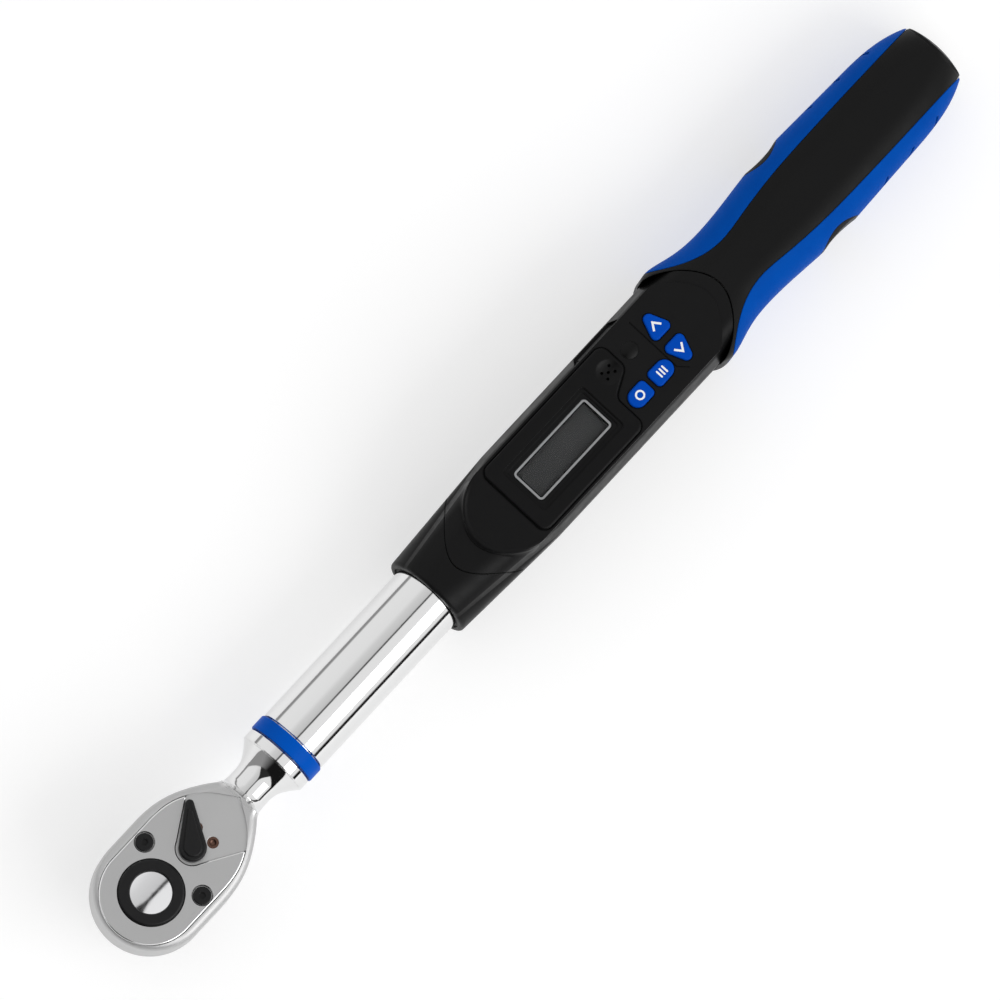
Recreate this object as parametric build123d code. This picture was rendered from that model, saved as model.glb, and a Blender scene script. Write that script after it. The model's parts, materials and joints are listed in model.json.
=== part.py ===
from build123d import *
import os
from math import cos, radians, sin, tan

# Digital torque wrench with a 12.7 mm square drive, in millimetres.
# Origin: on the drive axis, in the plane of the shoulder that a socket seats on.
# +X runs along the handle, +Z points up through the display, the square points down.

# ---- driving dimensions ----
AXIS_Z = 13.5            # height of the tube's axis above the socket's seat
GAP = 0.1                # clearance between neighbouring fixed pieces
FIT = 0.05               # radial running fit

# head
HEAD_HALF = 20.5         # half width, and radius of the round front
HEAD_CENTRE_X = 1.2
HEAD_BOTTOM = 1.5
HEAD_TOP = 2 * AXIS_Z - HEAD_BOTTOM
HEAD_EDGE = 2.8          # rounded rim, top and bottom
# flank from the widest part into the neck: x, half width
HEAD_TAPER = ((15.0, HEAD_HALF), (26.6, 18.8), (36.6, 14.0), (41.6, 10.5))
NECK_R = 7.9             # the neck is a round bar about the tube's axis
NECK_START = 48.6
NECK_END = 51.6
# turned flare from the neck to the collar: x, radius
FLARE = ((NECK_END, NECK_R), (54.6, 8.3), (57.6, 9.8), (59.6, 11.3), (61.3, 12.8))
# turned drop from the head to the neck: x, radius
DROP = ((43.2, 18.0), (44.9, 12.0), (46.0, 9.3), (48.0, 8.05), (NECK_END, NECK_R))
FACE_HALF = 17.5         # flat face inside the rim
FACE_CENTRE_X = -0.8
# flank of the face: x, half width, ending at a point on the handle's axis
FACE_TAPER = ((17.0, FACE_HALF), (26.4, 16.4), (33.0, 13.4), (39.6, 7.2))
FACE_TIP = 44.4
PLATE_THICK = 3.0
PLATE_EDGE = 0.6         # rounding of the plate's outer edge
PLATE_BEVEL = 0.4        # of its holes and of the edge along the sector
SECTOR_DEPTH = 1.0       # the lever's sector lies this far under the face
COVER_SCREW_XY = (11.1, 13.3)
COVER_SCREW_R = 3.1
COVER_SCREW_SINK = 1.5

# drive
SQUARE = 12.7
SQUARE_LENGTH = 14.5
SQUARE_BEVEL = 0.8
TEETH = 36
GEAR_TIP = 14.0
GEAR_ROOT = 13.1
CAVITY_R = 14.3
CAVITY_FLOOR = 6.0
JOURNAL_R = 10.4
HUB_R = 11.25
HUB_TOP = 23.4
RING_TOP = 26.3
RING_BORE = 7.6
BUTTON_R = 7.45
BUTTON_DOME = 1.0
BUTTON_UNDER = 20.5
BUTTON_TOP = 26.4
BUTTON_BORE_FLOOR = 14.0
STEM_R = 2.9
STEM_END = -9.6
BALL_R = 2.0
BALL_Z = -7.5
BALL_OUT = 1.0           # how far the ball stands out of the square

# reversing lever and pawl
PIVOT_X = 20.6
LEVER_ANGLE = 46.8       # either side of the handle's axis
LEVER_R = 4.8
LEVER_TIP_R = 1.5
LEVER_REACH = 15.0
LEVER_THICK = 3.5
LEVER_PIN_R = 2.6
PAWL_ROCK = 5.0          # either side of neutral
PAWL_BOTTOM = 6.4
PAWL_TOP = 20.2
CHAMBER_BACK = 26.2
CHAMBER_HALF = 10.5
SEAT_R = 2.0
SEAT_RADIUS = 7.3
SEAT_ANGLE = 30.9

# tube, collar and beam
TUBE_R = 13.15
TUBE_BORE = 11.4
COLLAR_START = 61.3
COLLAR_END = 65.6
RING_R = 13.45
TUBE_START = 71.9
TUBE_END = 389.3
SPIGOT_END = 84.0
BEAM_END = 196.0
BEAM_HALF_Y = 6.5
BEAM_HALF_Z = 8.0
WAIST = (112.0, 134.0)   # thinned length that carries the gauges
WAIST_HALF = 4.0
PIN_PLACES = (172.0, 190.0)
PIN_R = 2.5
SLOT = (150.0, 160.0)    # opening in the tube for the gauge ribbon

# housing
MOUTH_X = 138.9          # at the height of the tube's axis
MOUTH_LEAN = 5.0         # the mouth leans back towards the top
MOUTH_HALF = 16.1
MOUTH_EDGE = 1.3         # rounding of the mouth's rim
SEAL_R = 14.3
FULL_X = 186.0
CASE_END = 264.3
CASE_TOP = 34.5
CASE_BOTTOM = -3.8
CASE_HALF = 18.65
TONGUE_X = 286.0
SHOULDER_R = 6.0         # rounding of the body's upper corners
WALL = 2.2
PART_Z = 20.0            # level of the parting line along the sides
COVER_GAP = 0.25         # width of the seam round the top cover
# right halves of the arches, from the handle's axis outwards: x, half width
COVER_FRONT = ((151.0, 0.0), (158.4, 11.4), (171.6, CASE_HALF + 0.6))
COVER_REAR = ((283.7, 0.0), (278.3, 11.4), (266.4, CASE_HALF + 0.6))
PANEL_HALF = 16.1
PANEL_RISE = 0.8
PANEL_FRONT = ((161.2, 0.0), (168.8, 12.4), (180.0, PANEL_HALF))
PANEL_REAR = ((278.4, 0.0), (274.6, 9.0), (266.6, PANEL_HALF))
BOARD = (180.0, 260.0)
BOARD_HALF = 12.6
BOARD_Z = (27.6, 29.2)
SCREW_PLACES = (192.0, 254.0)
SCREW_Y = 15.3

# display
BEZEL_LEFT = 179.7
BEZEL_RIGHT = 230.0
BEZEL_FAR = 240.0        # behind the sounder
BEZEL_HALF = 14.9
BEZEL_CORNER = 3.4
BEZEL_RISE = 1.3
BEZEL_GROOVE = 0.4       # width of the groove round the bezel
LENS_X = (186.8, 222.8)
LENS_HALF = 6.8
LENS_CORNER = 1.6
RECESS_X = (184.9, 225.1)
RECESS_HALF = 9.9
LEDGE_X = (185.9, 223.9)
LEDGE_HALF = 8.5
OPENING_X = (183.6, 226.4)   # in the cover, under the bezel
OPENING_HALF = 11.0
VIEW_X = (188.2, 221.4)
VIEW_HALF = 5.6
LCD_X = (185.0, 225.0)
LCD_HALF = 9.5
LCD_TOP = 33.1
LENS_SEAT = 34.0

# sounder, lamp and keys
BUZZER_XY = (234.7, 6.5)
DISH_R = 4.4
DISH_DEPTH = 1.0
LAMP_XY = (245.3, 6.4)
LAMP_R = 3.0
LAMP_DOME = 0.7
KEY_RISE = 0.9
KEY_BOTTOM = 31.2
KEY_GAP = 0.2
MAT_TOP = 30.3

# port
PORT_X = (231.9, 247.7)
PORT_Z = (24.0, 30.6)
FLAP_HINGE = (16.55, 24.6)
FLAP_HINGE_R = 0.55

# grip: x, width, bottom, top, corner radius
GRIP_SECTIONS = (
    (264.6, 37.6, -3.8, 34.3, 7.2),
    (272.6, 40.2, -4.2, 33.7, 9.0),
    (279.4, 36.8, -3.6, 32.5, 10.8),
    (287.5, 34.2, -2.8, 30.9, 12.0),
    (298.0, 33.9, -2.8, 30.5, 12.0),
    (312.6, 36.3, -3.4, 31.2, 12.6),
    (322.7, 37.9, -3.8, 31.6, 13.0),
    (339.0, 37.7, -3.8, 31.6, 13.0),
    (363.0, 36.1, -3.4, 31.0, 12.6),
    (378.2, 34.3, -2.8, 30.0, 12.5),
    (388.3, 29.8, -1.0, 28.0, 12.2),
    (393.4, 25.8, 0.9, 26.1, 11.8),
)
PAD_THICK = 2.4
# edge of the black centre panel between the pads: x, half width
PAD_EDGE = (
    (274.6, 16.4),
    (280.0, 13.2),
    (286.0, 10.6),
    (295.0, 8.9),
    (305.0, 9.7),
    (320.0, 11.3),
    (340.0, 12.0),
    (366.0, 12.1),
    (394.0, 12.0),
)
PAD_START = (267.6, 21.5)
MARK_X = 326.3
MARK_Z = (7.5, 17.3)     # centres of its round ends
MARK_R = 8.8
MARK_DEPTH = 1.0
RIB_PLACES = (344.6, 358.0, 371.4)
RIB_SLANT = 32.0
GRIP_SCREW_X = 300.0

# batteries and cap
CELL_R = 7.2
CELL_LENGTH = 49.2
CELL_START = 277.8
CELL_PITCH = 50.5
SLEEVE = (271.3, 379.3)
SLEEVE_BORE = 7.5
CAP_R = 11.8
CAP_PLUG_R = 10.9
CAP_SEAT = 391.6
CAP_END = 396.6

# far enough to pass right through the object
FAR = 60.0


# ---- helpers ----
def block(x, y, z):
    """A box from pairs of limits."""
    size = [high - low for low, high in (x, y, z)]
    middle = [(low + high) / 2 for low, high in (x, y, z)]
    return Pos(*middle) * Box(*size)


def rod_z(radius, z_low, z_high, x=0.0, y=0.0):
    return Pos(x, y, (z_low + z_high) / 2) * Cylinder(radius, z_high - z_low)


def rod_x(radius, x_low, x_high, y=0.0, z=AXIS_Z):
    return Pos((x_low + x_high) / 2, y, z) * Rot(0, 90, 0) * Cylinder(radius, x_high - x_low)


def rod_y(radius, y_low, y_high, x, z):
    return Pos(x, (y_low + y_high) / 2, z) * Rot(90, 0, 0) * Cylinder(radius, y_high - y_low)


def prism(face, z_low, z_high):
    return Pos(0, 0, z_low) * extrude(face, z_high - z_low)


def both_sides(points):
    """A symmetric closed list: the given upper points, then their mirror images."""
    lower = [(x, -y) for x, y in reversed(points) if y > 0]
    return list(points) + lower


def polygon(points):
    return make_face(Polyline(*points, close=True))


def turned_z(points):
    """Solid of revolution about the drive axis, from (radius, z) points."""
    face = Plane.XZ * polygon(points)
    return revolve(face, Axis.Z, 360)


def turned_x(edges):
    """Solid of revolution about the tube's axis, from edges drawn in (x, radius)."""
    return Pos(0, 0, AXIS_Z) * revolve(make_face(edges), Axis.X, 360)


def hull(circles):
    """Outline drawn tightly round circles given as (x, y, radius)."""
    edges = ShapeList()
    for x, y, radius in circles:
        edges += (Pos(x, y) * Circle(radius)).edges()
    return make_hull(edges)


def coil(radius, wire, pitch, height):
    path = Helix(pitch, height, radius)
    section = Plane(origin=path @ 0, z_dir=path % 0) * Circle(wire)
    return sweep(section, path, is_frenet=True)


def one(shape):
    """The largest solid of a shape, so that no sliver is written with it."""
    return max(shape.solids(), key=lambda solid: solid.volume)


def save(name, shape):
    export_step(shape, "parts/" + name + ".step")


# ---- head ----
def head_outline():
    """Round front, straight flanks, then a taper into the neck."""
    half = HEAD_HALF
    front = ThreePointArc(
        (HEAD_CENTRE_X, half), (HEAD_CENTRE_X - half, 0), (HEAD_CENTRE_X, -half)
    )
    edges = [front, Line((NECK_END, NECK_R), (NECK_END, -NECK_R))]
    for side in (1, -1):
        points = [(x, side * y) for x, y in HEAD_TAPER]
        points.append((NECK_START, side * NECK_R))
        taper = Spline(*points, tangents=((1, 0), (1, 0)))
        edges.append(Line((HEAD_CENTRE_X, side * half), points[0]))
        edges.append(taper)
        edges.append(Line((NECK_START, side * NECK_R), (NECK_END, side * NECK_R)))
    return make_face(edges)


def face_outline(inset=0.0):
    """The flat face: round front, pointed towards the neck."""
    half = FACE_HALF - inset
    front = ThreePointArc(
        (FACE_CENTRE_X, half), (FACE_CENTRE_X - half, 0), (FACE_CENTRE_X, -half)
    )
    edges = [front]
    for side in (1, -1):
        points = [(x, side * (y - inset)) for x, y in FACE_TAPER]
        points.append((FACE_TIP - 2 * inset, 0))
        flank = Spline(*points, tangents=((1, 0), (1, -side * 1.4)))
        edges.append(Line((FACE_CENTRE_X, side * half), points[0]))
        edges.append(flank)
    return make_face(edges)


def sector_outline(grow=0.0):
    """The fan over which the lever swings."""
    mouth = (33.6, 14.4 + grow)
    root = (PIVOT_X - 3.4, 4.5 + grow)
    fan = polygon(both_sides([root, mouth, (FACE_TIP + 6, 14.4 + grow)]))
    return fan + Pos(PIVOT_X, 0) * Circle(LEVER_R + 0.9 + grow)


def head_blank():
    """Forged head with a rounded rim, turned down where it meets the neck."""
    body = prism(head_outline(), HEAD_BOTTOM, HEAD_TOP)
    rim = body.edges().filter_by(Plane.XY)
    rim = [edge for edge in rim if edge.center().X < NECK_END - 0.1]
    body = fillet(rim, HEAD_EDGE)
    turned = [
        Line((-FAR, 0), (-FAR, FAR)),
        Line((-FAR, FAR), (DROP[0][0] - 5.0, FAR)),
        Line((DROP[0][0] - 5.0, FAR), DROP[0]),
        Spline(*DROP, tangents=((1, -4), (1, 0))),
        Line(DROP[-1], (NECK_END, 0)),
        Line((NECK_END, 0), (-FAR, 0)),
    ]
    return body & turned_x(turned)


def neck_and_collar():
    """Turned neck that flares to the collar, and the spigot inside the tube."""
    root = DROP[2][0]
    neck = turned_x(
        [
            Line((root, 0), (root, NECK_R)),
            Line((root, NECK_R), FLARE[0]),
            Spline(*FLARE, tangents=((1, 0), (1, 1))),
            Line(FLARE[-1], (FLARE[-1][0], 0)),
            Line((FLARE[-1][0], 0), (root, 0)),
        ]
    )
    collar = chamfer(rod_x(TUBE_R, COLLAR_START, COLLAR_END).edges(), 0.4)
    spigot = rod_x(TUBE_BORE - FIT, COLLAR_END, SPIGOT_END)
    return neck + collar + spigot


def beam():
    """Bending beam with a thinned waist, pinned to the tube at its far end."""
    bar = block(
        (SPIGOT_END, BEAM_END),
        (-BEAM_HALF_Y, BEAM_HALF_Y),
        (AXIS_Z - BEAM_HALF_Z, AXIS_Z + BEAM_HALF_Z),
    )
    for low, high in ((WAIST_HALF, BEAM_HALF_Y + 1), (-BEAM_HALF_Y - 1, -WAIST_HALF)):
        bar -= block(WAIST, (low, high), (-FAR, FAR))
    for x in PIN_PLACES:
        bar -= rod_z(PIN_R + 0.02, -FAR, FAR, x)
    return bar


def chamber():
    """Room for the gear, the pawl and the plunger behind it."""
    room = rod_z(CAVITY_R, CAVITY_FLOOR, HEAD_TOP - PLATE_THICK)
    room += block(
        (8.8, CHAMBER_BACK),
        (-CHAMBER_HALF, CHAMBER_HALF),
        (CAVITY_FLOOR, PAWL_TOP + 0.3),
    )
    room += rod_z(JOURNAL_R + FIT, -1, CAVITY_FLOOR + 1)
    room += rod_x(1.7, CHAMBER_BACK - 1, 39.0)
    room += rod_z(LEVER_PIN_R + FIT, PAWL_BOTTOM, FAR, PIVOT_X)
    return room


def screw_spots():
    x, y = COVER_SCREW_XY
    return [(x, side * y) for side in (1, -1)]


def seat_spots():
    angle = radians(SEAT_ANGLE)
    return [
        (PIVOT_X + SEAT_RADIUS * cos(angle), side * SEAT_RADIUS * sin(angle))
        for side in (1, -1)
    ]


def ratchet_head():
    head = head_blank() + neck_and_collar() + beam()
    head -= prism(face_outline(), HEAD_TOP - SECTOR_DEPTH, FAR)
    head -= prism(face_outline() - sector_outline(), HEAD_TOP - PLATE_THICK, FAR)
    head -= chamber()
    for x, y in screw_spots():
        head -= rod_z(1.5, HEAD_BOTTOM + 4, HEAD_TOP, x, y)
    for x, y in seat_spots():
        head -= rod_z(SEAT_R + 0.02, HEAD_TOP - SECTOR_DEPTH - 1.5, HEAD_TOP, x, y)
    return one(head)


def head_cover_plate():
    """Plate with a rounded outer edge and bevelled holes."""
    outline = face_outline(GAP) - sector_outline(GAP)
    plate = prism(outline, HEAD_TOP - PLATE_THICK, HEAD_TOP)
    top = plate.edges().group_by(Axis.Z)[-1]
    outside = [edge for edge in top if abs(edge.center().Y) > 12 or edge.center().X < 0]
    plate = fillet(outside, PLATE_EDGE)
    top = plate.edges().group_by(Axis.Z)[-1]
    inside = [edge for edge in top if abs(edge.center().Y) < 12 and edge.center().X > 5]
    plate = fillet(inside, PLATE_BEVEL)
    plate -= rod_z(HUB_R + FIT, -FAR, FAR)
    for x, y in screw_spots():
        plate -= rod_z(1.6, -FAR, FAR, x, y)
        plate -= rod_z(COVER_SCREW_R + 0.2, HEAD_TOP - COVER_SCREW_SINK, FAR, x, y)
    rims = plate.faces().sort_by(Axis.Z)[-1].edges().filter_by(GeomType.CIRCLE)
    rims = [edge for edge in rims if edge.radius < HUB_R + 1 and edge.is_closed]
    return one(chamfer(rims, PLATE_BEVEL))


def cover_screws():
    screws = []
    seat = HEAD_TOP - COVER_SCREW_SINK
    for x, y in screw_spots():
        screw = rod_z(COVER_SCREW_R, seat, HEAD_TOP - 0.15, x, y)
        screw = fillet(screw.edges().group_by(Axis.Z)[-1], 0.4)
        screw += rod_z(1.4, HEAD_BOTTOM + 5, seat, x, y)
        socket = Pos(x, y, HEAD_TOP - 1.0) * extrude(RegularPolygon(1.25, 6), 2)
        screws.append(screw - socket)
    return Compound(screws)


def lever_detent_seats():
    floor = HEAD_TOP - SECTOR_DEPTH
    seats = []
    for x, y in seat_spots():
        seat = rod_z(SEAT_R, floor - 1.5, floor, x, y)
        seats.append(seat - Pos(x, y, floor + 0.9) * Sphere(1.5))
    return Compound(seats)


# ---- drive ----
def toothed_outline(grow=0.0):
    points = []
    for tooth in range(TEETH):
        for step, radius in ((0.0, GEAR_ROOT), (0.5, GEAR_TIP)):
            angle = radians(360 / TEETH * (tooth + step))
            points.append(((radius + grow) * cos(angle), (radius + grow) * sin(angle)))
    return polygon(points)


def drive_gear():
    gear = prism(toothed_outline(), CAVITY_FLOOR + 0.2, HEAD_TOP - PLATE_THICK - 0.3)
    gear += rod_z(JOURNAL_R, 0, CAVITY_FLOOR + 0.2)
    gear += rod_z(HUB_R, HEAD_TOP - PLATE_THICK - 0.3, HUB_TOP)
    square = Pos(0, 0, -SQUARE_LENGTH / 2) * Box(SQUARE, SQUARE, SQUARE_LENGTH)
    square = fillet(square.edges().filter_by(Axis.Z), 1.1)
    square = chamfer(square.faces().sort_by(Axis.Z)[0].edges(), SQUARE_BEVEL)
    gear += square
    gear -= rod_z(STEM_R + 0.08, STEM_END - 3.4, HUB_TOP)
    gear -= rod_z(BUTTON_R + 0.1, BUTTON_BORE_FLOOR, FAR)
    gear -= rod_z(RING_BORE + 0.7, HUB_TOP - 1.0, FAR)
    hole = Pos(SQUARE / 4 + 0.5, 0, BALL_Z) * Rot(0, 90, 0)
    gear -= hole * Cylinder(BALL_R + 0.05, SQUARE / 2 + 1)
    return one(gear)


def thumb_ring():
    """Black ring that the finger turns, with a fine bevel."""
    ring = rod_z(HUB_R - 0.02, HUB_TOP, RING_TOP)
    ring = fillet(ring.edges().group_by(Axis.Z)[-1], 0.7)
    ring += rod_z(RING_BORE + 0.68, HUB_TOP - 1.0, HUB_TOP)
    ring -= rod_z(RING_BORE, -FAR, FAR)
    return one(ring)


def release_button():
    """Domed head on a stem; a waist in the stem lets the ball drop in when pressed."""
    waist = 1.8
    stem = turned_z(
        [
            (0, STEM_END),
            (2.5, STEM_END),
            (2.7, BALL_Z - 1.6),
            (2.7, BALL_Z - 0.8),
            (waist, BALL_Z + 2.2),
            (waist, BALL_Z + 5.0),
            (STEM_R, BALL_Z + 6.3),
            (STEM_R, BUTTON_UNDER),
            (BUTTON_R, BUTTON_UNDER),
            (BUTTON_R, BUTTON_TOP - BUTTON_DOME),
            (0, BUTTON_TOP - BUTTON_DOME),
        ]
    )
    rise = BUTTON_DOME
    sphere_r = (BUTTON_R**2 + rise**2) / (2 * rise)
    dome = Pos(0, 0, BUTTON_TOP - sphere_r) * Sphere(sphere_r)
    dome &= block((-FAR, FAR), (-FAR, FAR), (BUTTON_TOP - rise - 0.01, FAR))
    return one(stem + dome)


def release_spring():
    wire = 0.45
    turns = 3
    room = BUTTON_UNDER - BUTTON_BORE_FLOOR - 2 * wire - 0.3
    return Pos(0, 0, BUTTON_BORE_FLOOR + wire + 0.15) * coil(5.2, wire, room / turns, room)


def detent_ball():
    return Pos(SQUARE / 2 + BALL_OUT - BALL_R, 0, BALL_Z) * Sphere(BALL_R)


# ---- pawl and lever ----
def about_pivot(angle):
    return Pos(PIVOT_X, 0) * Rot(0, 0, angle) * Pos(-PIVOT_X, 0)


def pawl():
    """Two-winged pawl, its teeth cut to clear the gear all through its rocking."""
    blank = polygon(both_sides([(10.4, 9.2), (16.0, 8.6), (23.6, 4.6), (25.0, 1.5)]))
    clearance = toothed_outline(0.14)
    for step in (-1.0, -0.75, -0.5, -0.25, 0.0, 0.25, 0.5, 0.75, 1.0):
        blank -= about_pivot(-PAWL_ROCK * step) * clearance
    blank = max(blank.faces(), key=lambda face: face.area)
    body = prism(about_pivot(PAWL_ROCK) * blank, PAWL_BOTTOM, PAWL_TOP)
    body -= rod_z(LEVER_PIN_R + FIT, -FAR, FAR, PIVOT_X)
    return one(body)


def pawl_plunger():
    nose = Pos(CHAMBER_BACK + 1.4, 0, AXIS_Z) * Sphere(1.6)
    return one(rod_x(1.6, CHAMBER_BACK + 1.4, 31.0) + nose)


def pawl_spring():
    wire = 0.25
    turns = 6
    length = 38.8 - 31.2 - 2 * wire
    return Pos(31.2 + wire, 0, AXIS_Z) * Rot(0, 90, 0) * coil(1.25, wire, length / turns, length)


def reversing_lever():
    angle = radians(LEVER_ANGLE)
    tip = (PIVOT_X + LEVER_REACH * cos(angle), LEVER_REACH * sin(angle), LEVER_TIP_R)
    low = HEAD_TOP - SECTOR_DEPTH + 0.15
    body = prism(hull([(PIVOT_X, 0, LEVER_R), tip]), low, low + LEVER_THICK)
    body = fillet(body.faces().sort_by(Axis.Z)[-1].edges(), 0.9)
    ridge_tip = (PIVOT_X + 0.82 * LEVER_REACH * cos(angle), 0.82 * LEVER_REACH * sin(angle), 0.8)
    ridge = prism(hull([(PIVOT_X, 0, 3.2), ridge_tip]), low, low + LEVER_THICK + 0.7)
    body += fillet(ridge.faces().sort_by(Axis.Z)[-1].edges(), 0.5)
    body += rod_z(LEVER_PIN_R, PAWL_BOTTOM + 0.3, low, PIVOT_X)
    return one(body)


# ---- ring, tube and what the tube holds ----
def marking_ring():
    ring = rod_x(RING_R, COLLAR_END + 0.35, TUBE_START - 0.35)
    ring = fillet(ring.edges(), 0.5)
    return one(ring - rod_x(TUBE_BORE, 0, 2 * TUBE_START))


def tube():
    body = rod_x(TUBE_R, TUBE_START, TUBE_END)
    body = chamfer(body.edges().group_by(Axis.X)[0], 0.3)
    body -= rod_x(TUBE_BORE, 0, TUBE_END + 1)
    body -= block(SLOT, (-4, 4), (AXIS_Z, FAR))
    for x in PIN_PLACES:
        body -= rod_z(PIN_R + 0.02, -FAR, FAR, x)
    body -= rod_z(1.5, -FAR, AXIS_Z, GRIP_SCREW_X)
    return one(body)


def beam_pins():
    return Compound(
        [rod_z(PIN_R, AXIS_Z - TUBE_R + 0.3, AXIS_Z + TUBE_R - 0.3, x) for x in PIN_PLACES]
    )


def strain_gauges():
    foils = []
    for x in (117.0, 129.0):
        for low in (WAIST_HALF, -WAIST_HALF - 0.3):
            foils.append(block((x - 3.5, x + 3.5), (low, low + 0.3), (AXIS_Z - 3, AXIS_Z + 3)))
    return Compound(foils)


def gauge_ribbon():
    """Flat lead from the gauges along the beam, up through the slot to the board."""
    top = AXIS_Z + BEAM_HALF_Z + 0.1
    board = BOARD_Z[0] - 0.05
    points = [
        (136.0, top),
        (154.0, top),
        (157.0, board - 0.4),
        (186.0, board - 0.4),
        (186.0, board),
        (156.6, board),
        (153.4, top + 0.4),
        (136.0, top + 0.4),
    ]
    return extrude(Plane.XZ * polygon(points), 2.5, both=True)


# ---- housing ----
def case_section(x, corners, radii):
    """Eight-sided section, given as its right half from the top down, with rounded corners."""
    points = [(-y, z) for y, z in corners] + [(y, z) for y, z in reversed(corners)]
    face = polygon(points)
    for (y, z), radius in zip(corners, radii):
        spots = [v for v in face.vertices() if abs(abs(v.X) - y) < 1e-6 and abs(v.Y - z) < 1e-6]
        face = fillet(spots, radius)
    plane = Plane((x, 0, 0), x_dir=(0, 1, 0), z_dir=(1, 0, 0))
    return plane * face


def mouth_section(x, inset):
    reach = MOUTH_HALF - inset
    flat = reach * tan(radians(22.5))
    corners = [
        (flat, AXIS_Z + reach),
        (reach, AXIS_Z + flat),
        (reach, AXIS_Z - flat),
        (flat, AXIS_Z - reach),
    ]
    return case_section(x, corners, 4 * [0.9 * reach])


def full_section(x, inset, drop=0.0, narrow=0.0):
    corners = [
        (15.9 - 0.9 * inset - narrow, CASE_TOP - inset - drop),
        (CASE_HALF - inset - narrow, 22.0),
        (CASE_HALF - inset - narrow, 5.0),
        (13.0 - 0.6 * inset - narrow, CASE_BOTTOM + inset),
    ]
    return case_section(x, corners, [SHOULDER_R - inset, 3.0, 3.0, 3.0])


def leaning(x):
    """Everything in front of the leaning plane that crosses the axis at x."""
    return Pos(x, 0, AXIS_Z) * Rot(0, MOUTH_LEAN, 0) * block((-FAR, 0), (-FAR, FAR), (-FAR, FAR))


def case_envelope(inset=0.0):
    """Round mouth, taper to the full section, then a short fall over the grip."""
    start = MOUTH_X - 5
    front = loft([mouth_section(start, inset), full_section(FULL_X, inset)], ruled=True)
    middle = loft([full_section(FULL_X, inset), full_section(CASE_END, inset)], ruled=True)
    tail = loft(
        [full_section(CASE_END, inset), full_section(TONGUE_X, inset, 2.4, 1.4)], ruled=True
    )
    front -= leaning(MOUTH_X)
    if inset == 0:
        front = fillet(front.faces().sort_by(Axis.X)[0].edges(), MOUTH_EDGE)
    return front + middle + tail


def arched(front, rear, inset=0.0):
    """Plan closed by an arch at each end and straight sides."""
    edges = []
    for arch, shift in ((front, inset), (rear, -inset)):
        half = [(x + shift, y) for x, y in arch]
        edges.append(Spline(*reversed(half), *[(x, -y) for x, y in half[1:]]))
    for side in (1, -1):
        x_front, y_front = front[-1]
        x_rear, y_rear = rear[-1]
        edges.append(Line((x_front + inset, side * y_front), (x_rear - inset, side * y_rear)))
    return make_face(edges)


def cover_plan(inset=0.0):
    return arched(COVER_FRONT, COVER_REAR, inset)


def panel_plan():
    return arched(PANEL_FRONT, PANEL_REAR)


def panel():
    """Raised panel: its roof climbs from the front arch, runs level, then falls."""
    level = CASE_TOP + PANEL_RISE
    roof = [
        (150.0, 24.0),
        (150.0, 31.5),
        (178.5, level),
        (CASE_END, level),
        (290.0, level - 3.0),
        (290.0, 24.0),
    ]
    return extrude(Plane.XZ * polygon(roof), FAR, both=True) & prism(panel_plan(), 24.0, FAR)


def bosses(z_low, z_high):
    posts = []
    for x in SCREW_PLACES:
        for side in (1, -1):
            posts.append(rod_z(2.6, z_low, z_high, x, side * SCREW_Y))
    return posts


def lower_case(outer, cavity):
    body = outer & block((0, CASE_END), (-FAR, FAR), (-FAR, FAR))
    body -= cavity
    for post in bosses(0.0, PART_Z - 0.1):
        body += post & outer
    body -= prism(cover_plan(), PART_Z - 0.1, FAR)
    body -= rod_x(TUBE_R + 0.2, 0, FAR + CASE_END)
    body -= rod_x(SEAL_R, 0, MOUTH_X + 6)
    for x, y in case_screw_places():
        body -= rod_z(1.3, -FAR, FAR, x, y)
        body -= rod_z(2.5, -FAR, 3.5, x, y)
    return one(body)


def case_screw_places():
    return [(x, side * SCREW_Y) for x in SCREW_PLACES for side in (1, -1)]


def case_screws():
    screws = []
    for x, y in case_screw_places():
        head = rod_z(2.3, 1.5, 3.5, x, y)
        socket = Pos(x, y, 0.5) * extrude(RegularPolygon(1.0, 6), 2)
        screws.append(head + rod_z(1.15, 3.5, 28.0, x, y) - socket)
    return Compound(screws)


def buzzer_holes():
    """Five sound holes in a shallow dish."""
    x, y = BUZZER_XY
    dish_r = (DISH_R**2 + DISH_DEPTH**2) / (2 * DISH_DEPTH)
    surface = CASE_TOP + PANEL_RISE + BEZEL_RISE
    cutter = Pos(x, y, surface + dish_r - DISH_DEPTH) * Sphere(dish_r)
    for across, along in ((0, 0), (1.8, 1.4), (1.8, -1.4), (-1.8, 1.4), (-1.8, -1.4)):
        cutter += rod_z(0.5, 30.0, surface, x + across, y + along)
    return cutter


def key_outlines(grow=0.0):
    """Plan of each key: two pointed ones and two with one round end."""
    up = [(255.2, 3.4, 1.9 + grow), (259.6, 3.4, 1.9 + grow), (257.4, 8.7, 2.0 + grow)]
    down = [(x, -y, r) for x, y, r in up]
    clear = [(235.2, -6.6, 3.4 + grow), (239.2, -4.9, 1.7 + grow), (239.2, -8.3, 1.7 + grow)]
    unit = [(244.5, -4.9, 1.7 + grow), (244.5, -8.3, 1.7 + grow), (248.6, -6.6, 3.3 + grow)]
    return {"key_up": up, "key_down": down, "key_clear": clear, "key_unit": unit}


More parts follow.
